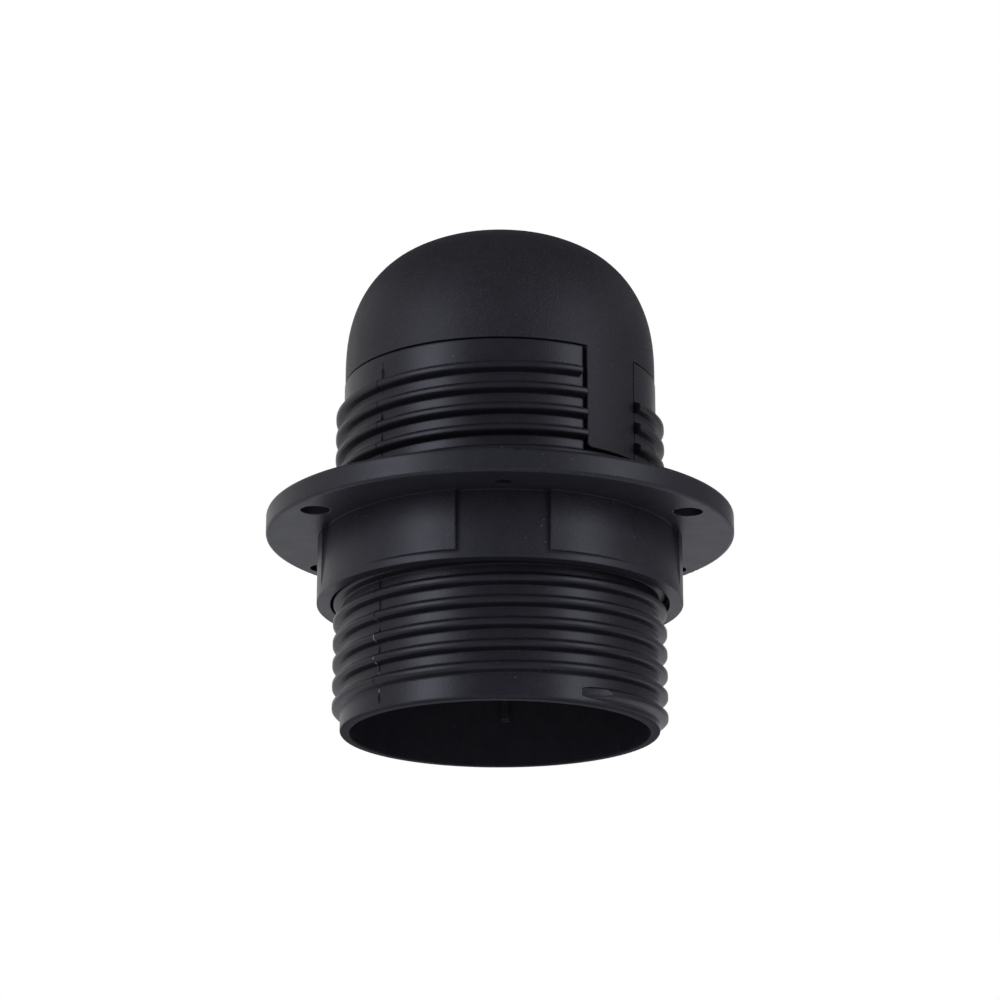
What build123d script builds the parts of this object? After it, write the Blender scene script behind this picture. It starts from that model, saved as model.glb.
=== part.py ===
from build123d import *
import os
from math import acos, atan, cos, degrees, radians, sin, sqrt

# Lamp holder for an E27 lamp, in millimetres. The origin is the centre of the mouth's rim,
# +Z runs up the axis towards the cable entry, and -Y is the side that carries the front recess.
# Polar angles are measured from +X towards +Y.

# Screw shell: sheet rolled to the round thread of the lamp's cap
shell_crest_radius = 12.45
shell_roll_depth = 0.9
shell_roll_round = 1.15
shell_roll_sides = 10
shell_sheet = 0.4
shell_pitch = 3.629
shell_length = 20.9
shell_thread_rise = 3.1
shell_thread_length = 14.15
shell_lip_width = 1.45
shell_lip_height = 1.0

# Skirt: the outer sleeve with the round thread
skirt_height = 42.0
skirt_wall = 1.1
rim_round = 0.35
ledge_clearance = 1.25
ledge_width = 1.4
ledge_thickness = 1.8
ledge_depth = 11.6
spigot_wall = 0.55
spigot_inset = 1.6
spigot_height = 2.8
guide_rib_count = 4
guide_rib_width = 1.1
guide_rib_depth = 0.65
guide_rib_bottom = 5.6
guide_rib_first_angle = 87.0

# Round barrel thread, one start, right-handed
thread_pitch = 2.5
thread_height = 0.95
thread_crest_width = 0.42
thread_shoulder_width = 0.82
thread_shoulder_drop = 0.2
thread_base_width = 1.44
thread_sink = 0.25
thread_start_height = 1.4
thread_start_angle = -51.0
thread_end_gap = 3.175

# Tongues of the cap and their slots in the skirt
tongue_width = 7.8
tongue_length = 12.2
tongue_angle = -46.0
tongue_corner = 0.6
tongue_play = 0.35
tongue_end_gap = 0.55

# Dome cap, whose outline is a superellipse of revolution
cap_inset = 0.07
cap_wall = 1.35
seam_gap = 0.25
dome_base_rise = 1.55
dome_height = 16.3
dome_side_power = 2.73
dome_top_power = 2.4
crown_radius = 8.7
entry_seat_width = 1.0
entry_seat_height = 0.35
boss_wall = 1.4
hold_rib_count = 4
hold_rib_width = 1.6
hold_rib_depth = 1.85
hold_rib_height = 6.2
hold_rib_first_angle = 60.0

# Metal entry bush for an M10 x 1 tube, and the screw that locks the tube
entry_thread_minor_radius = 4.46
bush_wall = 1.44
bush_hex_rim = 0.85
bush_hex_height = 2.0
lock_angle = -14.0
lock_hole_radius = 1.9
lock_tunnel_radius = 3.1
lock_screw_radius = 1.5
lock_screw_length = 7.5
lock_screw_drop = 3.65
lock_screw_gap = 0.44
lock_slot_width = 0.5
lock_slot_depth = 0.8
lock_chamfer = 0.25

# Shade ring: a flange on a gripped collar
collar_bottom = 15.35
collar_height = 8.0
collar_wall = 1.95
collar_draft = 0.55
collar_band_height = 0.9
flange_reach = 6.1
flange_thickness = 2.75
flange_round = 0.4
grip_rise = 0.6
grip_root = 0.3
grip_fade_angle = 47.0
recess_width = 10.64
side_rib_width = 11.0
ring_clearance = 0.12
ring_entry_lip = 0.23
ring_entry_depth = 1.1
ring_groove_depth = 0.7
fixing_hole_radius = 1.7
fixing_hole_angle = 30.0
locating_hole_radius = 0.95
locating_hole_gap = 0.9

# Contact carrier
carrier_thickness = 4.0
carrier_clearance = 0.15
hub_radius = 6.8
hub_depth = 1.5
spring_pocket_radius = 3.7
spring_pocket_roof = 2.0
terminal_wall = 1.2
terminal_wall_height = 4.2

# Centre contact: a sprung plunger
contact_radius = 3.5
contact_head = 2.0
contact_stop_gap = 0.5
contact_round = 0.8
contact_stem_radius = 1.5
contact_travel = 2.0
spring_wire_radius = 0.22
spring_mean_radius = 2.7
spring_turns = 4.0
clip_radius = 2.9
clip_thickness = 0.6
clip_groove_depth = 0.35
clip_mouth_width = 1.8

# Terminals, one each side of the axis along X
strap_thickness = 0.6
strap_width = 6.0
strap_arm_width = 4.5
terminal_length = 6.0
terminal_width = 4.8
terminal_height = 4.4
terminal_chamfer = 0.4
clamp_gap = 0.3
clamp_thickness = 1.0
clamp_side = 0.8
clamp_lip = 0.8
screw_radius = 1.5
screw_head_radius = 2.9
screw_head_height = 1.9
screw_head_round = 0.65
screw_point_chamfer = 0.3
screw_depth = 9.3
screw_slot_width = 0.7
screw_slot_depth = 1.0
wire_travel = 2.5
wiring_gap = 3.25

# Rivets
shell_rivet_angle = 235.0
shell_rivet_radius = 1.0
shell_rivet_head_radius = 1.7
rivet_head_height = 0.5
terminal_rivet_edge = 0.65
terminal_rivet_radius = 0.8
terminal_rivet_head_radius = 1.3

# Clearances
running_clearance = 0.05
seat_clearance = 0.1
hub_clearance = 0.2
touch_clearance = 0.03

FROM_BELOW = (Align.CENTER, Align.CENTER, Align.MIN)

# Radii that follow from the lamp's shell outwards
shell_root_radius = shell_crest_radius + shell_roll_depth
shell_lip_radius = shell_crest_radius + shell_lip_width
shell_hole_radius = hub_radius + hub_clearance
shell_rivet_circle = (shell_hole_radius + shell_crest_radius) / 2
ledge_radius = shell_root_radius + shell_sheet + ledge_clearance
carrier_bore_radius = ledge_radius + ledge_width
carrier_radius = carrier_bore_radius - carrier_clearance
hold_rib_inner_radius = carrier_radius - hold_rib_depth
spigot_radius = carrier_bore_radius + spigot_wall
skirt_radius = spigot_radius + spigot_inset
mouth_radius = skirt_radius - skirt_wall
thread_crest_radius = skirt_radius + thread_height
cap_radius = skirt_radius - cap_inset
cap_inner_radius = cap_radius - cap_wall
slot_floor_radius = cap_inner_radius - seat_clearance
ring_bore_radius = thread_crest_radius + ring_clearance
ring_entry_radius = ring_bore_radius + ring_entry_lip
collar_radius = thread_crest_radius + collar_wall
collar_root_radius = collar_radius - collar_draft
flange_radius = collar_radius + flange_reach
fixing_hole_circle = (collar_radius + flange_radius) / 2
locating_hole_circle = collar_radius + locating_hole_gap + locating_hole_radius
bush_radius = entry_thread_minor_radius + bush_wall
bush_hex_inner_radius = bush_radius + bush_hex_rim
boss_radius = bush_hex_inner_radius / cos(radians(30)) + boss_wall
lock_screw_tip = entry_thread_minor_radius + lock_screw_gap
clip_groove_radius = contact_stem_radius - clip_groove_depth

# Heights that follow from the skirt upwards
spigot_top = skirt_height + spigot_height
ledge_top = skirt_height - ledge_depth
ledge_bottom = ledge_top - ledge_thickness
thread_turns = (skirt_height - thread_end_gap - thread_start_height) / thread_pitch
cap_bottom = skirt_height + seam_gap
dome_base = cap_bottom + dome_base_rise
tongue_bottom = cap_bottom - tongue_length
slot_bottom = tongue_bottom - tongue_end_gap
hold_rib_top = dome_base + hold_rib_height
flange_bottom = collar_bottom + collar_height
flange_top = flange_bottom + flange_thickness
grip_bottom = collar_bottom + collar_band_height
shell_top = ledge_top
shell_bottom = shell_top - shell_length
shell_thread_bottom = shell_bottom + shell_thread_rise
carrier_top = ledge_top + carrier_thickness
spring_pocket_ceiling = carrier_top - spring_pocket_roof
strap_top = carrier_top + strap_thickness
block_top = strap_top + terminal_height
clamp_bottom = block_top + clamp_gap
clamp_top = clamp_bottom + clamp_thickness
screw_head_bottom = clamp_top + running_clearance
boss_bottom = screw_head_bottom + screw_head_height + wire_travel + wiring_gap
contact_back = ledge_top - hub_depth - contact_stop_gap - contact_travel
contact_face = contact_back - contact_head
clip_bottom = strap_top + running_clearance
stem_top = clip_bottom + 2 * clip_thickness

# Places across
slot_width = tongue_width + 2 * tongue_play
# the cap is turned in its slots until the tongues touch on one side
slot_angle = tongue_angle - degrees((tongue_play - touch_clearance) / cap_radius)
clamp_width = terminal_width + 2 * (clamp_side + seat_clearance)
screw_hole_radius = screw_radius + running_clearance
terminal_rivet_offset = carrier_radius - terminal_rivet_edge - terminal_rivet_head_radius
terminal_offset = (
    terminal_rivet_offset - terminal_rivet_head_radius - seat_clearance - terminal_length / 2
)


def dome_points(radius, height, end_radius, count=9):
    """Points (r, z) up a superellipse from its widest place to end_radius."""
    last = acos((end_radius / radius) ** (dome_side_power / 2))
    points = []
    for i in range(count):
        t = last * i / (count - 1)
        r = radius * cos(t) ** (2 / dome_side_power)
        z = dome_base + height * sin(t) ** (2 / dome_top_power)
        points.append((r, z))
    return points


def dome_end_slope(radius, height, end_radius):
    """Direction (r, z) in which that superellipse leaves its last point."""
    side = end_radius / radius
    rise = (1 - side**dome_side_power) ** (1 / dome_top_power)
    across = dome_side_power / radius * side ** (dome_side_power - 1)
    along = dome_top_power / height * rise ** (dome_top_power - 1)
    return (-along, across)


def polar(radius, angle):
    """A point in the XY plane."""
    return (radius * cos(radians(angle)), radius * sin(radians(angle)))


def thread_ridge(radius, height, turns):
    """A helical ridge of the barrel thread, standing out of a cylinder of the given radius."""
    shoulder = height - thread_shoulder_drop
    lean = (thread_base_width - thread_shoulder_width) / 2 / shoulder
    sunk = thread_base_width / 2 + lean * thread_sink
    with BuildPart() as ridge:
        with BuildLine() as path:
            Helix(thread_pitch, thread_pitch * turns, radius)
        with BuildSketch(Plane(path.line @ 0, x_dir=(1, 0, 0), z_dir=path.line % 0)):
            with BuildLine():
                Polyline(
                    (-thread_sink, -sunk),
                    (shoulder, -thread_shoulder_width / 2),
                    (height, -thread_crest_width / 2),
                    (height, thread_crest_width / 2),
                    (shoulder, thread_shoulder_width / 2),
                    (-thread_sink, sunk),
                    close=True,
                )
            make_face()
        sweep(path=path.line, is_frenet=True)
    return ridge.part


# Dome cap
dome_outline = dome_points(cap_radius, dome_height, crown_radius)
crown_height = dome_outline[-1][1]
entry_top = crown_height + entry_seat_height
outline_end = dome_end_slope(cap_radius, dome_height, crown_radius)
inner_crown_radius = crown_radius - cap_wall
ceiling_outline = dome_points(cap_inner_radius, dome_height - cap_wall, inner_crown_radius)
ceiling_end = dome_end_slope(cap_inner_radius, dome_height - cap_wall, inner_crown_radius)

# the lock screw's axis leaves this plane's origin along the plane's normal
lock_plane = Plane(
    origin=(0, 0, entry_top - lock_screw_drop),
    x_dir=(0, 0, 1),
    z_dir=(*polar(1, lock_angle), 0),
)

with BuildPart() as cap_cavity:
    with BuildSketch(Plane.XZ):
        with BuildLine():
            Line((0, cap_bottom), (cap_inner_radius, cap_bottom))
            Line((cap_inner_radius, cap_bottom), (cap_inner_radius, dome_base))
            Spline(*ceiling_outline, tangents=[(0, 1), ceiling_end])
            Line(ceiling_outline[-1], (0, ceiling_outline[-1][1]))
            Line((0, ceiling_outline[-1][1]), (0, cap_bottom))
        make_face()
    revolve(axis=Axis.Z)
    with Locations((0, 0, boss_bottom)):
        Cylinder(boss_radius, dome_height, align=FROM_BELOW, mode=Mode.SUBTRACT)
    with BuildSketch(lock_plane):
        Circle(lock_tunnel_radius)
    extrude(amount=cap_radius, mode=Mode.SUBTRACT)
    with BuildSketch(Plane.XY.offset(spigot_top + seat_clearance)):
        with PolarLocations(cap_radius, hold_rib_count, start_angle=hold_rib_first_angle):
            Rectangle(2 * (cap_radius - hold_rib_inner_radius), hold_rib_width)
    extrude(amount=hold_rib_top - spigot_top - seat_clearance, mode=Mode.SUBTRACT)

with BuildPart() as dome_cap:
    with BuildSketch(Plane.XZ):
        with BuildLine():
            Line((0, cap_bottom), (cap_radius, cap_bottom))
            Line((cap_radius, cap_bottom), (cap_radius, dome_base))
            Spline(*dome_outline, tangents=[(0, 1), outline_end])
            Line(dome_outline[-1], (0, crown_height))
            Line((0, crown_height), (0, cap_bottom))
        make_face()
    revolve(axis=Axis.Z)
    add(cap_cavity.part, mode=Mode.SUBTRACT)
    with BuildSketch(Plane.XY.offset(crown_height)):
        Circle(bush_radius + entry_seat_width)
    extrude(amount=entry_seat_height)
    # two tongues, flush with the dome
    with BuildSketch(Plane.XY.offset(tongue_bottom)):
        Circle(cap_radius)
        Circle(cap_inner_radius, mode=Mode.SUBTRACT)
        Rectangle(3 * cap_radius, tongue_width, rotation=tongue_angle, mode=Mode.INTERSECT)
    extrude(amount=dome_base - tongue_bottom)
    # ribs that hold the contact carrier down on its ledge
    with BuildSketch(Plane.XY.offset(carrier_top + seat_clearance)):
        with PolarLocations(carrier_radius - hold_rib_depth / 2, hold_rib_count,
                            start_angle=hold_rib_first_angle):
            Rectangle(hold_rib_depth, hold_rib_width)
    extrude(amount=hold_rib_top - carrier_top - seat_clearance)
    # bore, hex pocket and the hole that lets a screwdriver reach the lock screw
    with BuildSketch(Plane.XY.offset(boss_bottom)):
        Circle(bush_radius + running_clearance)
    extrude(amount=dome_height, mode=Mode.SUBTRACT)
    with BuildSketch(Plane.XY.offset(boss_bottom)):
        RegularPolygon(bush_hex_inner_radius + seat_clearance, 6, major_radius=False)
    extrude(amount=bush_hex_height + running_clearance, mode=Mode.SUBTRACT)
    with BuildSketch(lock_plane):
        Circle(lock_hole_radius)
    extrude(amount=2 * cap_radius, mode=Mode.SUBTRACT)
    tongue_ends = dome_cap.edges().filter_by(GeomType.LINE).group_by(Axis.Z)[0]
    fillet(tongue_ends, tongue_corner)

# Entry bush, with a hexagon that keeps it from turning
with BuildPart() as entry_bush:
    with BuildSketch(Plane.XY.offset(boss_bottom)):
        RegularPolygon(bush_hex_inner_radius, 6, major_radius=False)
    extrude(amount=bush_hex_height)
    with BuildSketch(Plane.XY.offset(boss_bottom)):
        Circle(bush_radius)
    extrude(amount=entry_top - boss_bottom)
    with BuildSketch(Plane.XY.offset(boss_bottom)):
        Circle(entry_thread_minor_radius)
    extrude(amount=entry_top - boss_bottom, mode=Mode.SUBTRACT)
    with BuildSketch(lock_plane):
        Circle(lock_screw_radius + running_clearance)
    extrude(amount=2 * bush_radius, mode=Mode.SUBTRACT)

# Lock screw: a slotted set screw, reached through the hole in the dome's side
with BuildPart() as lock_screw:
    with BuildSketch(lock_plane.offset(lock_screw_tip)):
        Circle(lock_screw_radius)
    extrude(amount=lock_screw_length)
    chamfer(lock_screw.edges().filter_by(GeomType.CIRCLE), lock_chamfer)
    with BuildSketch(lock_plane.offset(lock_screw_tip + lock_screw_length)):
        Rectangle(3 * lock_screw_radius, lock_slot_width)
    extrude(amount=-lock_slot_depth, mode=Mode.SUBTRACT)

# Skirt
with BuildPart() as skirt:
    with BuildSketch(Plane.XZ):
        with BuildLine():
            Polyline(
                (0, 0),
                (skirt_radius, 0),
                (skirt_radius, skirt_height),
                (spigot_radius, skirt_height),
                (spigot_radius, spigot_top),
                (0, spigot_top),
                close=True,
            )
        make_face()
    revolve(axis=Axis.Z)
    fillet(skirt.edges().group_by(Axis.Z)[0], rim_round)
    with Locations(Location((0, 0, thread_start_height), (0, 0, thread_start_angle))):
        add(thread_ridge(skirt_radius, thread_height, thread_turns))
    # the hollow, from below and from above the ledge
    with BuildSketch(Plane.XZ):
        with BuildLine():
            Polyline(
                (0, 0),
                (mouth_radius, 0),
                (mouth_radius, ledge_bottom),
                (ledge_radius, ledge_bottom),
                (ledge_radius, ledge_top),
                (carrier_bore_radius, ledge_top),
                (carrier_bore_radius, spigot_top),
                (0, spigot_top),
                close=True,
            )
        make_face()
    revolve(axis=Axis.Z, mode=Mode.SUBTRACT)
    # slots for the two tongues
    with BuildSketch(Plane.XY.offset(slot_bottom)):
        Circle(2 * thread_crest_radius)
        Circle(slot_floor_radius, mode=Mode.SUBTRACT)
        Rectangle(3 * skirt_radius, slot_width, rotation=slot_angle, mode=Mode.INTERSECT)
    extrude(amount=spigot_top - slot_bottom, mode=Mode.SUBTRACT)
    # guide ribs inside the mouth
    with BuildSketch(Plane.XY.offset(guide_rib_bottom)):
        with PolarLocations(mouth_radius, guide_rib_count, start_angle=guide_rib_first_angle):
            Rectangle(2 * guide_rib_depth, guide_rib_width)
    extrude(amount=ledge_bottom - guide_rib_bottom)

# Grip pads of the shade ring: proudest beside the recess and fading out towards the sides
grip_height = flange_bottom - grip_bottom
with BuildPart() as grip_pads:
    with BuildSketch(Plane.XY.offset(grip_bottom)):
        with BuildLine():
            outer = ThreePointArc(
                polar(collar_radius, 90 - grip_fade_angle),
                (0, collar_radius + grip_rise),
                polar(collar_radius, 90 + grip_fade_angle),
            )
            Line(outer @ 1, outer @ 0)
        make_face()
    extrude(amount=grip_height, taper=degrees(atan(collar_draft / grip_height)))
    mirror(about=Plane.XZ)
    with BuildSketch(Plane.XY.offset(grip_bottom)):
        Circle(collar_root_radius - grip_root)
        Rectangle(recess_width, 3 * collar_radius)
    extrude(amount=grip_height, mode=Mode.SUBTRACT)

# Shade ring
with BuildPart() as shade_ring:
    with BuildSketch(Plane.XZ):
        with BuildLine():
            Polyline(
                (ring_bore_radius, collar_bottom + ring_entry_depth),
                (ring_entry_radius, collar_bottom + ring_entry_depth / 2),
                (ring_entry_radius, collar_bottom),
                (collar_radius, collar_bottom),
                (collar_radius, grip_bottom),
                (collar_root_radius, flange_bottom),
                (flange_radius, flange_bottom),
                (flange_radius, flange_top),
                (ring_bore_radius, flange_top),
                close=True,
            )
        make_face()
    revolve(axis=Axis.Z)
    flange_edges = (
        shade_ring.edges()
        .filter_by(GeomType.CIRCLE)
        .filter_by(lambda e: abs(e.radius - flange_radius) < 0.01)
    )
    fillet(flange_edges, flange_round)
    add(grip_pads.part)
    # side ribs, straight across so that they draw with the pads
    with BuildSketch(Plane.XY.offset(grip_bottom)):
        Circle(collar_radius)
        Circle(collar_root_radius - grip_root, mode=Mode.SUBTRACT)
        Rectangle(3 * collar_radius, side_rib_width, mode=Mode.INTERSECT)
    extrude(amount=grip_height)
    # holes for fixing and for locating a shade
    with BuildSketch(Plane.XY.offset(flange_bottom)):
        for side in (0, 180):
            with PolarLocations(fixing_hole_circle, 2, start_angle=side - fixing_hole_angle,
                                angular_range=2 * fixing_hole_angle, endpoint=True):
                Circle(fixing_hole_radius)
        with PolarLocations(locating_hole_circle, 2, start_angle=90):
            Circle(locating_hole_radius)
    extrude(amount=flange_thickness, mode=Mode.SUBTRACT)
    # thread groove inside the collar, in step with the skirt's ridge
    groove_bottom = collar_bottom - thread_pitch
    groove_turns = (flange_top - collar_bottom) / thread_pitch + 2
    groove_angle = (groove_bottom - thread_start_height) / thread_pitch * 360 + thread_start_angle
    with Locations(Location((0, 0, groove_bottom), (0, 0, groove_angle))):
        add(thread_ridge(ring_bore_radius, ring_groove_depth, groove_turns), mode=Mode.SUBTRACT)

# Contact carrier: an insulating disc with a hub below and terminal walls above
with BuildPart() as contact_carrier:
    with BuildSketch(Plane.XY.offset(ledge_top)):
        Circle(carrier_radius)
    extrude(amount=carrier_thickness)
    with BuildSketch(Plane.XY.offset(ledge_top)):
        Circle(hub_radius)
    extrude(amount=-hub_depth)
    with BuildSketch(Plane.XY.offset(carrier_top)):
        wall_offset = clamp_width / 2 + 2 * seat_clearance + terminal_wall / 2
        # the neutral strap leaves its terminal where a fourth wall would be
        with Locations(
            (terminal_offset, wall_offset),
            (terminal_offset, -wall_offset),
            (-terminal_offset, wall_offset),
        ):
            Rectangle(terminal_length, terminal_wall)
    extrude(amount=terminal_wall_height)
    # spring pocket and stem guide
    with BuildSketch(Plane.XY.offset(spring_pocket_ceiling)):
        Circle(spring_pocket_radius)
    extrude(amount=-carrier_thickness - hub_depth, mode=Mode.SUBTRACT)
    with BuildSketch(Plane.XY.offset(carrier_top)):
        Circle(contact_stem_radius + seat_clearance)
    extrude(amount=-carrier_thickness, mode=Mode.SUBTRACT)
    # blind holes under the terminal screws
    with BuildSketch(Plane.XY.offset(carrier_top)):
        with Locations((-terminal_offset, 0), (terminal_offset, 0)):
            Circle(screw_radius + 2 * seat_clearance)
    extrude(amount=screw_head_bottom - screw_depth - seat_clearance - carrier_top, mode=Mode.SUBTRACT)
    # rivet holes
    with BuildSketch(Plane.XY.offset(ledge_top)):
        with PolarLocations(shell_rivet_circle, 2, start_angle=shell_rivet_angle):
            Circle(shell_rivet_radius + running_clearance)
        with Locations((-terminal_rivet_offset, 0), (terminal_rivet_offset, 0)):
            Circle(terminal_rivet_radius + running_clearance)
    extrude(amount=carrier_thickness, mode=Mode.SUBTRACT)
    with BuildSketch(Plane.XY.offset(ledge_top)):
        with Locations((-terminal_rivet_offset, 0), (terminal_rivet_offset, 0)):
            Circle(terminal_rivet_head_radius + seat_clearance)
    extrude(amount=rivet_head_height + seat_clearance, mode=Mode.SUBTRACT)

# Screw shell: sheet metal with a rolled helix


def rolled_ridge(sheet):
    """The helical bulge of the shell: its inside for a sheet of 0, its outside for the real sheet."""
    with BuildPart() as bulge:
        with BuildLine() as path:
            Helix(shell_pitch, shell_thread_length, shell_root_radius - shell_roll_round)
        with BuildSketch(Plane(path.line @ 0, x_dir=(1, 0, 0), z_dir=path.line % 0)):
            RegularPolygon(
                shell_roll_round + sheet,
                shell_roll_sides,
                major_radius=False,
                rotation=180 / shell_roll_sides,
            )
        sweep(path=path.line, is_frenet=True)
    return bulge.part


with BuildPart() as screw_shell:
    with BuildSketch(Plane.XY.offset(shell_bottom)):
        Circle(shell_crest_radius + shell_sheet)
    extrude(amount=shell_top - shell_bottom)
    with Locations((0, 0, shell_thread_bottom)):
        add(rolled_ridge(shell_sheet))
    with BuildSketch(Plane.XZ):
        with BuildLine():
            Polyline(
                (0, shell_bottom),
                (shell_lip_radius, shell_bottom),
                (shell_crest_radius + shell_sheet, shell_bottom + shell_lip_height),
                (0, shell_bottom + shell_lip_height),
                close=True,
            )
        make_face()
    revolve(axis=Axis.Z)
    with BuildSketch(Plane.XY.offset(shell_bottom)):
        Circle(shell_crest_radius)
    extrude(amount=shell_top - shell_sheet - shell_bottom, mode=Mode.SUBTRACT)
    with BuildSketch(Plane.XZ):
        with BuildLine():
            Polyline(
                (0, shell_bottom),
                (shell_lip_radius - shell_sheet, shell_bottom),
                (shell_crest_radius, shell_bottom + shell_lip_height),
                (0, shell_bottom + shell_lip_height),
                close=True,
            )
        make_face()
    revolve(axis=Axis.Z, mode=Mode.SUBTRACT)
    with Locations((0, 0, shell_thread_bottom)):
        add(rolled_ridge(0), mode=Mode.SUBTRACT)
    with BuildSketch(Plane.XY.offset(shell_top)):
        Circle(shell_hole_radius)
        with PolarLocations(shell_rivet_circle, 2, start_angle=shell_rivet_angle):
            Circle(shell_rivet_radius + running_clearance)
    extrude(amount=-shell_sheet, mode=Mode.SUBTRACT)

# Centre contact: a domed button on a stem, with a groove for its clip
with BuildPart() as centre_contact:
    with BuildSketch(Plane.XY.offset(contact_face)):
        Circle(contact_radius)
    extrude(amount=contact_head)
    fillet(centre_contact.edges().group_by(Axis.Z)[0], contact_round)
    with BuildSketch(Plane.XY.offset(contact_back)):
        Circle(contact_stem_radius)
    extrude(amount=stem_top - contact_back)
    with BuildSketch(Plane.XY.offset(clip_bottom)):
        Circle(2 * contact_stem_radius)
        Circle(clip_groove_radius, mode=Mode.SUBTRACT)
    extrude(amount=clip_thickness, mode=Mode.SUBTRACT)

# Spring behind the centre contact
spring_low = contact_back + spring_wire_radius + running_clearance
spring_high = spring_pocket_ceiling - spring_wire_radius - running_clearance
with BuildPart() as centre_spring:
    with BuildLine(Plane.XY.offset(spring_low)) as spring_path:
        Helix((spring_high - spring_low) / spring_turns, spring_high - spring_low, spring_mean_radius)
    with BuildSketch(Plane(spring_path.line @ 0, x_dir=(1, 0, 0), z_dir=spring_path.line % 0)):
        Circle(spring_wire_radius)
    sweep(path=spring_path.line, is_frenet=True)

# Clip on the stem
with BuildPart() as contact_clip:
    with BuildSketch(Plane.XY.offset(clip_bottom)):
        Circle(clip_radius)
        Circle(clip_groove_radius, mode=Mode.SUBTRACT)
        with Locations((0, clip_radius)):
            Rectangle(clip_mouth_width, 2 * clip_radius, mode=Mode.SUBTRACT)
    extrude(amount=clip_thickness)

# Straps: the live one carries the plunger's current, the neutral one the shell's
strap_reach = carrier_radius - seat_clearance
with BuildPart() as live_strap:
    with BuildSketch(Plane.XY.offset(carrier_top)):
        with Locations((terminal_rivet_offset / 2, 0)):
            SlotCenterToCenter(terminal_rivet_offset, strap_width)
        Circle(strap_reach, mode=Mode.INTERSECT)
        Circle(contact_stem_radius + seat_clearance, mode=Mode.SUBTRACT)
        with Locations((terminal_offset, 0)):
            Circle(screw_hole_radius, mode=Mode.SUBTRACT)
        with Locations((terminal_rivet_offset, 0)):
            Circle(terminal_rivet_radius + running_clearance, mode=Mode.SUBTRACT)
    extrude(amount=strap_thickness)

rivet_x, rivet_y = polar(shell_rivet_circle, shell_rivet_angle)
with BuildPart() as neutral_strap:
    with BuildSketch(Plane.XY.offset(carrier_top)):
        strap_middle = -(terminal_rivet_offset + terminal_offset) / 2
        with Locations((strap_middle, 0)):
            SlotCenterToCenter(terminal_rivet_offset - terminal_offset, strap_width)
        Circle(strap_reach, mode=Mode.INTERSECT)
        arm_x = rivet_x + terminal_offset
        arm_length = sqrt(arm_x**2 + rivet_y**2)
        arm_angle = -degrees(acos(arm_x / arm_length))
        with Locations(Location(((rivet_x - terminal_offset) / 2, rivet_y / 2), arm_angle)):
            SlotCenterToCenter(arm_length, strap_arm_width)
        with Locations((rivet_x, rivet_y)):
            Circle(shell_rivet_radius + running_clearance, mode=Mode.SUBTRACT)
        with Locations((-terminal_offset, 0)):
            Circle(screw_hole_radius, mode=Mode.SUBTRACT)
        with Locations((-terminal_rivet_offset, 0)):
            Circle(terminal_rivet_radius + running_clearance, mode=Mode.SUBTRACT)
    extrude(amount=strap_thickness)

# Shell rivets: one goes through the neutral strap as well
with BuildPart() as shell_rivets:
    for angle, grip_top in ((shell_rivet_angle, strap_top), (shell_rivet_angle + 180, carrier_top)):
        head_bottom = shell_top - shell_sheet - rivet_head_height
        place = polar(shell_rivet_circle, angle)
        with Locations((*place, head_bottom)):
            Cylinder(shell_rivet_head_radius, rivet_head_height, align=FROM_BELOW)
            Cylinder(shell_rivet_radius, grip_top - head_bottom, align=FROM_BELOW)
        with Locations((*place, grip_top)):
            Cylinder(shell_rivet_head_radius, rivet_head_height, align=FROM_BELOW)

# Terminal rivets: they fix the straps' outer ends to the carrier
with BuildPart() as terminal_rivets:
    for side in (-1, 1):
        with Locations((side * terminal_rivet_offset, 0, ledge_top + seat_clearance)):
            Cylinder(terminal_rivet_head_radius, rivet_head_height, align=FROM_BELOW)
            Cylinder(terminal_rivet_radius, strap_top - ledge_top - seat_clearance, align=FROM_BELOW)
        with Locations((side * terminal_rivet_offset, 0, strap_top)):
            Cylinder(terminal_rivet_head_radius, rivet_head_height, align=FROM_BELOW)


def terminal_block(side):
    """A tapped brass block on its strap; side is +1 for live and -1 for neutral."""
    with BuildPart() as block:
        with BuildSketch(Plane.XY.offset(strap_top)):
            with Locations((side * terminal_offset, 0)):
                Rectangle(terminal_length, terminal_width)
                Circle(screw_hole_radius, mode=Mode.SUBTRACT)
        extrude(amount=terminal_height)
        chamfer(block.edges().filter_by(Axis.Z), terminal_chamfer)
    return block


def clamp_plate(side):
    """The captive plate under a terminal screw's head, with a lip along each side of the block."""
    with BuildPart() as plate:
        with BuildSketch(Plane.XY.offset(clamp_bottom - clamp_lip)):
            with Locations((side * terminal_offset, 0)):
                Rectangle(terminal_length, clamp_width)
        extrude(amount=clamp_lip + clamp_thickness)
        with BuildSketch(Plane.XY.offset(clamp_bottom)):
            with Locations((side * terminal_offset, 0)):
                Rectangle(terminal_length, terminal_width + 2 * seat_clearance)
        extrude(amount=-clamp_lip, mode=Mode.SUBTRACT)
        with BuildSketch(Plane.XY.offset(clamp_bottom)):
            with Locations((side * terminal_offset, 0)):
                Circle(screw_hole_radius)
        extrude(amount=clamp_thickness, mode=Mode.SUBTRACT)
    return plate


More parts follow.
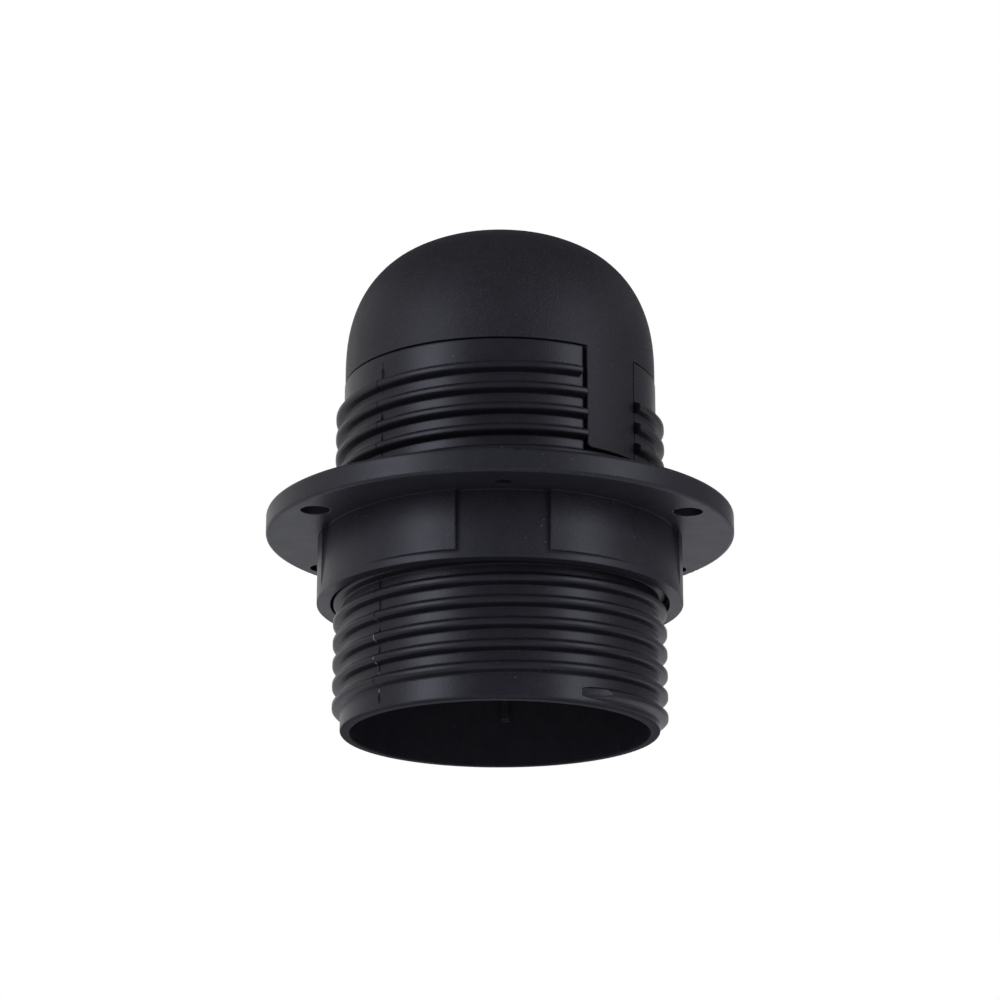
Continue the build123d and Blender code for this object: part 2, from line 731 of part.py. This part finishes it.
def terminal_screw(side):
    """A slotted pan-head screw, upright in its block."""
    with BuildPart() as screw:
        with BuildSketch(Plane.XY.offset(screw_head_bottom)):
            with Locations((side * terminal_offset, 0)):
                Circle(screw_head_radius)
        extrude(amount=screw_head_height)
        fillet(screw.edges().group_by(Axis.Z)[-1], screw_head_round)
        with BuildSketch(Plane.XY.offset(screw_head_bottom)):
            with Locations((side * terminal_offset, 0)):
                Circle(screw_radius)
        extrude(amount=-screw_depth)
        chamfer(screw.edges().group_by(Axis.Z)[0], screw_point_chamfer)
        with BuildSketch(Plane.XY.offset(screw_head_bottom + screw_head_height)):
            with Locations((side * terminal_offset, 0)):
                Rectangle(screw_slot_width, 3 * screw_head_radius)
        extrude(amount=-screw_slot_depth, mode=Mode.SUBTRACT)
    return screw


pieces = {
    "dome_cap": dome_cap,
    "entry_bush": entry_bush,
    "lock_screw": lock_screw,
    "skirt": skirt,
    "shade_ring": shade_ring,
    "contact_carrier": contact_carrier,
    "screw_shell": screw_shell,
    "centre_contact": centre_contact,
    "centre_spring": centre_spring,
    "contact_clip": contact_clip,
    "live_strap": live_strap,
    "neutral_strap": neutral_strap,
    "shell_rivets": shell_rivets,
    "terminal_rivets": terminal_rivets,
    "live_terminal": terminal_block(1),
    "neutral_terminal": terminal_block(-1),
    "live_clamp_plate": clamp_plate(1),
    "neutral_clamp_plate": clamp_plate(-1),
    "live_terminal_screw": terminal_screw(1),
    "neutral_terminal_screw": terminal_screw(-1),
}

os.makedirs("parts", exist_ok=True)
for name, piece in pieces.items():
    piece.part.label = name
    export_step(piece.part, f"parts/{name}.step")
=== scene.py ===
"""Looks of the lamp holder: materials, small moulding marks, threads and the studio around it.

Everything is in metres in the row's frame: the mouth's rim stands on z = 0, +Z runs up to the
cable entry and -Y is the front, where the shade ring has its recess. Lengths below are in
millimetres and angles in degrees from +X towards +Y, unless a line says otherwise.
"""

from math import cos, pi, radians, sin

import bpy
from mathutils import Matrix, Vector, noise
from mathutils.bvhtree import BVHTree


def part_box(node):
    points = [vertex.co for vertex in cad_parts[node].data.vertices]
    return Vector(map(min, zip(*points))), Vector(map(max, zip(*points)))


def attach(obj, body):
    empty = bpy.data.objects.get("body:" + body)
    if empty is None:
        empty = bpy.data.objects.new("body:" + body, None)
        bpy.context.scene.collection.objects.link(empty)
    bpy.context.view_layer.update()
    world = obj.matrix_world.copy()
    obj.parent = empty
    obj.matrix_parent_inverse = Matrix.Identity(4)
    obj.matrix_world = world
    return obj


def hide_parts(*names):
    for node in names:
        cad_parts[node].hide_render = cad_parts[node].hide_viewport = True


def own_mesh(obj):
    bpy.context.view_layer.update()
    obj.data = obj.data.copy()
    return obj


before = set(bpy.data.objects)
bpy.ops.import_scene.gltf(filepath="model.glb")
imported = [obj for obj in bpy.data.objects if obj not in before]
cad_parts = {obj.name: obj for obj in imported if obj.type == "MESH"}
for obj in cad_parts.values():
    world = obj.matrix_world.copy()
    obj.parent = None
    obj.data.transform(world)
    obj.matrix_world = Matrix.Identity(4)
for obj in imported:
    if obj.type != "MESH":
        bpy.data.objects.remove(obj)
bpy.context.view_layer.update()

MM = 0.001

# Flash on the skirt, along the two lines where the halves of its mould met: its ends and steps in
# height, its width, how deep its foot is sunk, how proud it stands in the thread's valleys and over
# the crests, and the length of its lumps
FLASH_ANGLES = {"skirt_flash_front": -137.65, "skirt_flash_back": 42.35}
FLASH_LOW = 0.7
FLASH_HIGH = 41.8
FLASH_STEP = 0.1
FLASH_WIDTH = 0.22
FLASH_SUNK = 0.06
FLASH_VALLEY = 0.24
FLASH_CREST = 0.06
FLASH_LUMP = 0.7

# The barrel thread's section, out from the skirt's wall and up from the ridge's middle, and its start
SKIRT_RADIUS = 18.55
THREAD_HEIGHT = 0.95
THREAD_CREST_RADIUS = SKIRT_RADIUS + THREAD_HEIGHT
THREAD_PITCH = 2.5
THREAD_START_HEIGHT = 1.4
THREAD_START_ANGLE = -51.0
THREAD_SECTION = (
    (-0.25, -0.84),
    (0.75, -0.41),
    (THREAD_HEIGHT, -0.21),
    (THREAD_HEIGHT, 0.21),
    (0.75, 0.41),
    (-0.25, 0.84),
)

# The ramp that the thread begins with, and how far it laps into the ridge
RAMP_ANGLE = 11.0
RAMP_STEPS = 12
RAMP_LAP = 0.4

# Fine threads, drawn as bump: the entry bush's bore and the terminal screws
BUSH_THREAD = {"radius": 4.9, "pitch": 1.0}
SCREW_THREAD = {"radius": 1.52, "pitch": 0.5}

# Noise patterns, with their scale in cells a metre
MOTTLE = {"scale": 420, "detail": 4}
DUST_PATCH = {"scale": 160, "detail": 1}
DUST_SPECK_SCALE = 900
EDGE_SPOT = {"scale": 2600, "detail": 2, "roughness": 0.6}
TORN_TIP = {"scale": 1300, "detail": 1}
TORN_GRAIN = {"scale": 6000, "detail": 2, "roughness": 0.6}
PLASTIC_GRAIN = {"detail": 2, "roughness": 0.6}
METAL_GRAIN = {"scale": 9000, "detail": 2, "roughness": 0.7}
STAIN = {"scale": 600, "detail": 5, "roughness": 0.6}

# Values of a pattern between which its mask goes from none to full
MOTTLE_RANGE = (0.35, 0.7)
GRAIN_RANGE = (0.48, 0.72)
DUST_PATCH_RANGE = (0.57, 0.63)
DUST_SPECK_RANGE = (0.09, 0.04)
EDGE_SPOT_RANGE = (0.56, 0.66)
EDGE_TURN_RANGE = (0.96, 0.80)
TORN_TIP_RANGE = (0.63, 0.69)
STAIN_RANGE = (0.35, 0.75)
SHEEN_RANGE = (0.3, 0.7)

# What becomes of a colour: the share that is kept and the grey that is added
MOTTLED = (1.25, 0.0)
# The edges' lighter spots are partly rubbed wear and partly painted highlight.
RUBBED_AND_HIGHLIT = (2, 0.012)
DUSTY = (4, 0.03)
STAINED = (0.72, 0.0)

# Gloss of the plastic: weak and a little blue
PLASTIC_GLOSS = 0.16
PLASTIC_TINT = (0.88, 0.88, 1.0)

# Roughness of the skirt's scuffed foot and of the torn flash, and how far other roughness strays
FOOT_ROUGHNESS = 0.9
TORN_ROUGHNESS = 0.34
PLASTIC_SPREAD = (-0.02, 0.03)
METAL_SPREAD = (-0.06, 0.12)

# Depth of the grain that is drawn as bump, and how the edges are softened
PLASTIC_GRAIN_DEPTH = 0.06
METAL_GRAIN_DEPTH = 0.03
TORN_GRAIN_STRENGTH = 0.4
PLASTIC_EDGE = 0.18
METAL_EDGE = 0.1
EDGE_SAMPLES = 6

# Colours
CAP_BLACK = (0.0056, 0.0056, 0.0071)
SKIRT_BLACK = (0.0057, 0.0057, 0.0076)
RING_BLACK = (0.0078, 0.0078, 0.0102)
CARRIER_GREY = (0.05, 0.05, 0.054)
TORN_PALE = (0.15, 0.15, 0.17)
NICKEL = (0.62, 0.60, 0.56)
CONTACT_BRASS = (0.75, 0.56, 0.28)
STRAP_BRASS = (0.72, 0.52, 0.24)
RIVET_BRASS = (0.70, 0.52, 0.27)
STEEL = (0.55, 0.55, 0.56)
ZINC = (0.66, 0.66, 0.66)

# The studio: daylight lamps and cards, a little blue, in front of a white world
LAMP_COLOUR = (0.92, 0.92, 1.0)
LAMP_AIM = (0, 0, 25)
CARD_COLOUR = (0.93, 0.94, 1.0)
CARD_BASE = (0.02, 0.02, 0.02)
WORLD_COLOUR = (0.95, 0.97, 1.0)
WORLD_LIGHT = 0.5
WHITE = (1.0, 1.0, 1.0)
UP = (0, 0, 1)
DOWN = (0, 0, -1)
BACK = (0, 1, 0)
LEFT_AND_FRONT = (-0.866, -0.5, 0)

# Camera, from the outline of the flange, rim and dome in the photograph
CAMERA_DISTANCE = 358.13
CAMERA_RISE = 16.948
CAMERA_TURN = 0.95
CAMERA_AIM_HEIGHT = 28.401
CAMERA_LENS = 108.93
CAMERA_SENSOR = 36.0
CAMERA_CLIP = 10


class Shader:
    """The nodes of a material or of the world, with short calls for those that are used here."""

    def __init__(self, owner):
        owner.use_nodes = True
        self.owner = owner
        self.nodes = owner.node_tree.nodes
        self.links = owner.node_tree.links

    def fill(self, socket, value):
        """Gives a socket its number, vector or colour, or links another node's output to it."""
        if isinstance(value, bpy.types.NodeSocket):
            self.links.new(value, socket)
        elif socket.type == "RGBA":
            socket.default_value = (*value, 1.0)
        else:
            socket.default_value = value

    def node(self, kind, **values):
        """A node of a kind. Values name its properties or its input sockets."""
        made = self.nodes.new(kind)
        for key, value in values.items():
            if hasattr(made, key):
                setattr(made, key, value)
            else:
                self.fill(made.inputs[key.replace("_", " ")], value)
        return made

    def surface(self, **values):
        """Sets the named sockets of the material's own shader."""
        for key, value in values.items():
            self.fill(self.nodes["Principled BSDF"].inputs[key.replace("_", " ")], value)

    def coordinates(self):
        """Object coordinates, which are the row's frame in metres."""
        return self.node("ShaderNodeTexCoord").outputs["Object"]

    def split(self, where):
        """The X, Y and Z of a vector."""
        return self.node("ShaderNodeSeparateXYZ", Vector=where).outputs

    def noise(self, where, scale, detail, roughness=0.5):
        made = self.node("ShaderNodeTexNoise", Vector=where, Scale=scale, Detail=detail, Roughness=roughness)
        return made.outputs["Fac"]

    def cells(self, where, scale):
        return self.node("ShaderNodeTexVoronoi", Vector=where, Scale=scale).outputs["Distance"]

    def ramp(self, source, start, end, low=0.0, high=1.0):
        """Source from start to end becomes low to high, and stays there beyond them."""
        made = self.node(
            "ShaderNodeMapRange", Value=source, From_Min=start, From_Max=end, To_Min=low, To_Max=high)
        return made.outputs["Result"]

    def blend(self, factor, first, second):
        """A colour between two colours."""
        made = self.node("ShaderNodeMix", data_type="RGBA")
        for name, kind, value in (("Factor", "VALUE", factor), ("A", "RGBA", first), ("B", "RGBA", second)):
            self.fill([s for s in made.inputs if s.name == name and s.type == kind][0], value)
        return [s for s in made.outputs if s.type == "RGBA"][0]

    def bump(self, height, strength, depth, **normal):
        made = self.node("ShaderNodeBump", Height=height, Strength=strength, Distance=depth * MM, **normal)
        return made.outputs["Normal"]

    def soft_edges(self, radius):
        return self.node("ShaderNodeBevel", samples=EDGE_SAMPLES, Radius=radius * MM).outputs["Normal"]

    def uneven(self, pattern, roughness, spread):
        """A roughness that strays with a pattern, by no more than the spread."""
        low, high = spread
        return self.ramp(pattern, *SHEEN_RANGE, roughness + low, roughness + high)

    def calculate(self, operation, first, second=0.0):
        made = self.node("ShaderNodeMath", operation=operation)
        self.fill(made.inputs[0], first)
        self.fill(made.inputs[1], second)
        return made.outputs[0]

    def edge_wear_and_highlight(self, soft):
        """Lighter spots along the edges, where the softened normal leaves the face's own: partly rubbed
        wear, partly painted highlight.
        """
        turn = self.node("ShaderNodeVectorMath", operation="DOT_PRODUCT")
        self.fill(turn.inputs[0], soft)
        self.fill(turn.inputs[1], self.node("ShaderNodeNewGeometry").outputs["True Normal"])
        edge = self.ramp(turn.outputs["Value"], *EDGE_TURN_RANGE)
        spots = self.ramp(self.noise(self.coordinates(), **EDGE_SPOT), *EDGE_SPOT_RANGE)
        return self.calculate("MULTIPLY", edge, spots)

    def helix(self, centre, radius, pitch):
        """Height of a fine thread about an upright axis, out to a radius, all in metres."""
        offset = self.node("ShaderNodeVectorMath", operation="SUBTRACT")
        self.fill(offset.inputs[0], self.coordinates())
        self.fill(offset.inputs[1], centre)
        x, y, z = self.split(offset.outputs[0])
        turn = self.calculate("DIVIDE", self.calculate("ARCTAN2", y, x), 2 * pi)
        rise = self.calculate("DIVIDE", z, pitch)
        tooth = self.calculate("PINGPONG", self.calculate("SUBTRACT", rise, turn), 0.5)
        reach = self.calculate("SQRT", self.calculate(
            "ADD", self.calculate("MULTIPLY", x, x), self.calculate("MULTIPLY", y, y)))
        return self.calculate("MULTIPLY", tooth, self.calculate("LESS_THAN", reach, radius))


def changed(colour, share, added=0.0):
    """A colour with a share of it kept and a grey added."""
    return tuple(share * c + added for c in colour)


def moulded_plastic(
        name, colour, roughness, grain, grain_size, speckle, edge=PLASTIC_EDGE, matt_foot=0.0):
    """Moulded plastic with fine grain, faint mottling, dust specks, and edges lightened in spots that are
    partly rubbed wear and partly painted highlight.

    The grain's tops are speckle times as light as the colour. The lowest matt_foot of the part, if
    any, is scuffed matt.
    """
    shader = Shader(bpy.data.materials.new(name))
    where = shader.coordinates()
    mottle = shader.noise(where, **MOTTLE)
    fine = shader.noise(where, 1 / (grain_size * MM), **PLASTIC_GRAIN)
    soft = shader.soft_edges(edge)

    specks = shader.ramp(shader.cells(where, DUST_SPECK_SCALE), *DUST_SPECK_RANGE)
    patches = shader.ramp(shader.noise(where, **DUST_PATCH), *DUST_PATCH_RANGE)
    dust = shader.calculate("MULTIPLY", specks, patches)
    tone = shader.blend(shader.ramp(mottle, *MOTTLE_RANGE), colour, changed(colour, *MOTTLED))
    tone = shader.blend(shader.ramp(fine, *GRAIN_RANGE), tone, changed(colour, speckle))
    # Painted highlight and rubbed wear: lighter spots along the edges.
    tone = shader.blend(shader.edge_wear_and_highlight(soft), tone, changed(colour, *RUBBED_AND_HIGHLIT))
    tone = shader.blend(dust, tone, changed(colour, *DUSTY))

    dullness = shader.uneven(mottle, roughness, PLASTIC_SPREAD)
    if matt_foot:
        height = shader.split(where)["Z"]
        foot = shader.ramp(height, matt_foot / 2 * MM, matt_foot * MM, FOOT_ROUGHNESS, 0.0)
        dullness = shader.calculate("MAXIMUM", dullness, foot)
    shader.surface(
        Base_Color=tone,
        Roughness=dullness,
        Specular_IOR_Level=PLASTIC_GLOSS,
        Specular_Tint=PLASTIC_TINT,
        Normal=shader.bump(fine, grain, PLASTIC_GRAIN_DEPTH, Normal=soft),
    )
    return shader.owner


def torn_plastic(name, colour):
    """The skirt's plastic where it was squeezed thin between the moulds, with pale torn tips."""
    shader = Shader(bpy.data.materials.new(name))
    where = shader.coordinates()
    torn = shader.ramp(shader.noise(where, **TORN_TIP), *TORN_TIP_RANGE)
    fine = shader.noise(where, **TORN_GRAIN)
    shader.surface(
        Base_Color=shader.blend(torn, colour, TORN_PALE),
        Roughness=TORN_ROUGHNESS,
        Specular_IOR_Level=PLASTIC_GLOSS,
        Specular_Tint=PLASTIC_TINT,
        Normal=shader.bump(fine, TORN_GRAIN_STRENGTH, PLASTIC_GRAIN_DEPTH),
    )
    return shader.owner


def plain_metal(name, colour, roughness, grain, threaded_node=None, thread=None):
    """Sheet or turned metal with a faint grain and stains, and a node's fine thread if given."""
    shader = Shader(bpy.data.materials.new(name))
    where = shader.coordinates()
    stains = shader.noise(where, **STAIN)
    fine = shader.noise(where, **METAL_GRAIN)
    normal = shader.bump(fine, grain, METAL_GRAIN_DEPTH, Normal=shader.soft_edges(METAL_EDGE))
    if thread:
        ridges = shader.helix(middle(threaded_node), thread["radius"] * MM, thread["pitch"] * MM)
        normal = shader.bump(ridges, 1.0, thread["pitch"], Normal=normal)
    shader.surface(
        Base_Color=shader.blend(shader.ramp(stains, *STAIN_RANGE), colour, changed(colour, *STAINED)),
        Metallic=1.0,
        Roughness=shader.uneven(stains, roughness, METAL_SPREAD),
        Normal=normal,
    )
    return shader.owner


def zinc_plated(name, threaded_node=None, thread=None):
    """Zinc-plated steel, with a node's fine thread if given."""
    return plain_metal(name, ZINC, roughness=0.32, grain=0.12, threaded_node=threaded_node, thread=thread)


def middle(node):
    """The centre of a node's box, in metres."""
    low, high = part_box(node)
    return (Vector(low) + Vector(high)) / 2


def dress_nodes():
    """Gives every node of the part its material and smooth shading."""
    rivet = plain_metal("rivet_brass", RIVET_BRASS, roughness=0.3, grain=0.1)
    brass = plain_metal("contact_brass", CONTACT_BRASS, roughness=0.3, grain=0.12)
    strip = plain_metal("strap_brass", STRAP_BRASS, roughness=0.34, grain=0.15)
    spring = plain_metal("spring_steel", STEEL, roughness=0.25, grain=0.05)
    zinc = zinc_plated("zinc_steel")
    finish = {
        "dome_cap": moulded_plastic(
            "cap_black", CAP_BLACK, roughness=0.5, grain=0.7, grain_size=0.20, speckle=2.6),
        "skirt": moulded_plastic(
            "skirt_black", SKIRT_BLACK, roughness=0.36, grain=0.3, grain_size=0.26, speckle=1.6,
            edge=0.3, matt_foot=0.3),
        "shade_ring": moulded_plastic(
            "ring_black", RING_BLACK, roughness=0.4, grain=0.35, grain_size=0.24, speckle=1.6),
        "contact_carrier": moulded_plastic(
            "carrier_grey", CARRIER_GREY, roughness=0.55, grain=0.4, grain_size=0.25, speckle=1.4),
        "screw_shell": plain_metal("shell_nickel", NICKEL, roughness=0.28, grain=0.1),
        "shell_rivets": rivet,
        "terminal_rivets": rivet,
        "centre_contact": brass,
        "contact_clip": spring,
        "centre_spring": spring,
        "entry_bush": zinc_plated("bush_zinc", "entry_bush", BUSH_THREAD),
        "lock_screw": zinc,
    }
    for side in ("live", "neutral"):
        screw = side + "_terminal_screw"
        finish[side + "_strap"] = strip
        finish[side + "_terminal"] = brass
        finish[side + "_clamp_plate"] = zinc
        finish[screw] = zinc_plated(side + "_screw_zinc", screw, SCREW_THREAD)
    for name, material in finish.items():
        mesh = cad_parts[name].data
        mesh.materials.clear()
        mesh.materials.append(material)
        for face in mesh.polygons:
            face.use_smooth = True
    return finish


def polar(radius, angle, height):
    """A point in metres from a radius, an angle in radians and a height."""
    return Vector((radius * cos(angle), radius * sin(angle), height))


def skirt_piece(name, points, faces, material):
    """A closed mesh of the skirt's plastic that moves with the holder."""
    mesh = bpy.data.meshes.new(name)
    mesh.from_pydata(points, [], faces)
    mesh.materials.append(material)
    piece = bpy.data.objects.new(name, mesh)
    bpy.context.scene.collection.objects.link(piece)
    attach(piece, "holder")


def flash_line(name, angle, material):
    """A thin ragged line of flash that follows the skirt's wall and thread from rim to seam."""
    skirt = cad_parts["skirt"].data
    wall = BVHTree.FromPolygons([v.co for v in skirt.vertices], [p.vertices for p in skirt.polygons])
    outside = polar(2 * THREAD_CREST_RADIUS * MM, angle, 0)
    crest = (THREAD_CREST_RADIUS + FLASH_CREST) * MM
    half = FLASH_WIDTH / 2 / THREAD_CREST_RADIUS
    last = round((FLASH_HIGH - FLASH_LOW) / FLASH_STEP)
    points = []
    for i in range(last + 1):
        height = (FLASH_LOW + i * FLASH_STEP) * MM
        radius = wall.ray_cast(outside + Vector((0, 0, height)), -outside)[0].xy.length
        ragged = 0.5 + noise.noise(Vector((height / (FLASH_LUMP * MM), angle, 0)))
        proud = max(radius, min(radius + FLASH_VALLEY * MM * max(0.0, ragged), crest))
        if i in (0, last):
            proud = radius
        sunk = radius - FLASH_SUNK * MM
        points += [
            polar(sunk, angle - half, height),
            polar(proud, angle, height),
            polar(sunk, angle + half, height),
        ]
    faces = [(0, 2, 1), (3 * last, 3 * last + 1, 3 * last + 2)]
    for i in range(last):
        for side in range(3):
            first, second = 3 * i + side, 3 * i + (side + 1) % 3
            faces.append((first, second, second + 3, first + 3))
    skirt_piece(name, points, faces, material)


def thread_ramp(name, material):
    """The tapered run-in of the barrel thread, from the skirt's wall up to the ridge's first face."""
    points = []
    corners = len(THREAD_SECTION)
    for i in range(RAMP_STEPS + 1):
        share = i / RAMP_STEPS
        turn = THREAD_START_ANGLE + RAMP_LAP - share * RAMP_ANGLE
        rise = THREAD_START_HEIGHT + THREAD_PITCH * (turn - THREAD_START_ANGLE) / 360
        for out, up in THREAD_SECTION:
            radius = SKIRT_RADIUS + min(out, THREAD_HEIGHT * (1 - share))
            points.append(polar(radius * MM, radians(turn), (rise + up) * MM))
    faces = [tuple(range(corners)), tuple(corners * RAMP_STEPS + k for k in reversed(range(corners)))]
    for i in range(RAMP_STEPS):
        for k in range(corners):
            first, second = corners * i + k, corners * i + (k + 1) % corners
            faces.append((second, first, first + corners, second + corners))
    skirt_piece(name, points, faces, material)


def contact_spring(name, material):
    """The spring behind the centre contact, as a fixed copy on the holder; the real spring shortens as the
    contact is pressed in, this copy does not.
    """
    piece = bpy.data.objects.new(name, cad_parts["centre_spring"].data.copy())
    piece.data.materials.clear()
    piece.data.materials.append(material)
    bpy.context.scene.collection.objects.link(piece)
    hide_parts("centre_spring")
    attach(piece, "holder")
    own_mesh(piece)


def looking(name, data, place, look):
    """The object of a lamp or camera that stands at a place and looks along a direction."""
    made = bpy.data.objects.new(name, data)
    made.location = place * MM
    made.rotation_euler = look.to_track_quat("-Z", "Y").to_euler()
    bpy.context.scene.collection.objects.link(made)
    return made


def soft_box(name, place, size, watts):
    """A lamp with a lit rectangle, aimed at the object."""
    lamp = bpy.data.lights.new(name, "AREA")
    lamp.shape = "RECTANGLE"
    lamp.size = size[0] * MM
    lamp.size_y = size[1] * MM
    lamp.energy = watts
    lamp.color = LAMP_COLOUR
    looking(name, lamp, Vector(place), Vector(LAMP_AIM) - Vector(place))


def stage_card(name, centre, size, facing, glow):
    """A large dim card, unseen by the camera: it sets what the glossy faces turned to it reflect."""
    bpy.ops.mesh.primitive_plane_add(size=1, location=Vector(centre) * MM)
    card = bpy.context.active_object
    card.name = name
    card.rotation_euler = Vector(facing).to_track_quat("Z", "Y").to_euler()
    card.scale = (size[0] * MM, size[1] * MM, 1)
    card.visible_camera = False
    shader = Shader(bpy.data.materials.new(name))
    shader.surface(
        Base_Color=CARD_BASE, Specular_IOR_Level=0.0, Emission_Color=CARD_COLOUR, Emission_Strength=glow)
    card.data.materials.append(shader.owner)


def white_world():
    """A world that lights the object dimly, and is white where it is seen, mirrored or seen through."""
    world = bpy.data.worlds.new("studio")
    bpy.context.scene.world = world
    shader = Shader(world)
    shader.nodes.clear()
    path = shader.node("ShaderNodeLightPath").outputs
    seen = shader.calculate("MAXIMUM", path["Is Camera Ray"], path["Is Glossy Ray"])
    seen = shader.calculate("MAXIMUM", seen, path["Is Transmission Ray"])
    dim = shader.node("ShaderNodeBackground", Color=WORLD_COLOUR, Strength=WORLD_LIGHT)
    white = shader.node("ShaderNodeBackground", Color=WHITE, Strength=1.0)
    mix = shader.node("ShaderNodeMixShader")
    for socket, value in zip(mix.inputs, (seen, dim.outputs[0], white.outputs[0])):
        shader.fill(socket, value)
    shader.node("ShaderNodeOutputWorld", Surface=mix.outputs[0])


def studio():
    """The white world, a soft box on each side, and cards below, in front, above and at the right."""
    white_world()
    stage_card("under_card", centre=(0, -60, -70), size=(560, 560), facing=UP, glow=1.15)
    stage_card("under_back", centre=(0, 480, -70), size=(900, 500), facing=UP, glow=0.6)
    stage_card("front_card", centre=(0, -500, 180), size=(500, 400), facing=BACK, glow=0.42)
    stage_card("ceiling_front", centre=(0, -150, 300), size=(1000, 300), facing=DOWN, glow=0.4)
    stage_card("ceiling_back", centre=(0, 280, 300), size=(520, 560), facing=DOWN, glow=0.15)
    stage_card("right_card", centre=(346, 200, 60), size=(480, 480), facing=LEFT_AND_FRONT, glow=0.35)
    soft_box("left_box", place=(-420, -330, 190), size=(230, 400), watts=2.7)
    soft_box("right_box", place=(430, -290, 170), size=(200, 380), watts=1.75)


def camera():
    """A camera at the photograph's viewing angle, below the rim's level and looking up."""
    data = bpy.data.cameras.new("camera")
    data.lens = CAMERA_LENS
    data.sensor_width = CAMERA_SENSOR
    data.clip_start = CAMERA_CLIP * MM
    rise = radians(CAMERA_RISE)
    turn = radians(CAMERA_TURN)
    look = Vector((sin(turn) * cos(rise), cos(turn) * cos(rise), sin(rise)))
    place = Vector((0, 0, CAMERA_AIM_HEIGHT)) - CAMERA_DISTANCE * look
    bpy.context.scene.camera = looking("camera", data, place, look)


finish = dress_nodes()
flash = torn_plastic("flash_black", SKIRT_BLACK)
for name, angle in FLASH_ANGLES.items():
    flash_line(name, radians(angle), flash)
thread_ramp("thread_ramp", finish["skirt"])
contact_spring("contact_spring", finish["centre_spring"])
studio()
camera()
bpy.context.scene.view_settings.view_transform = "Standard"
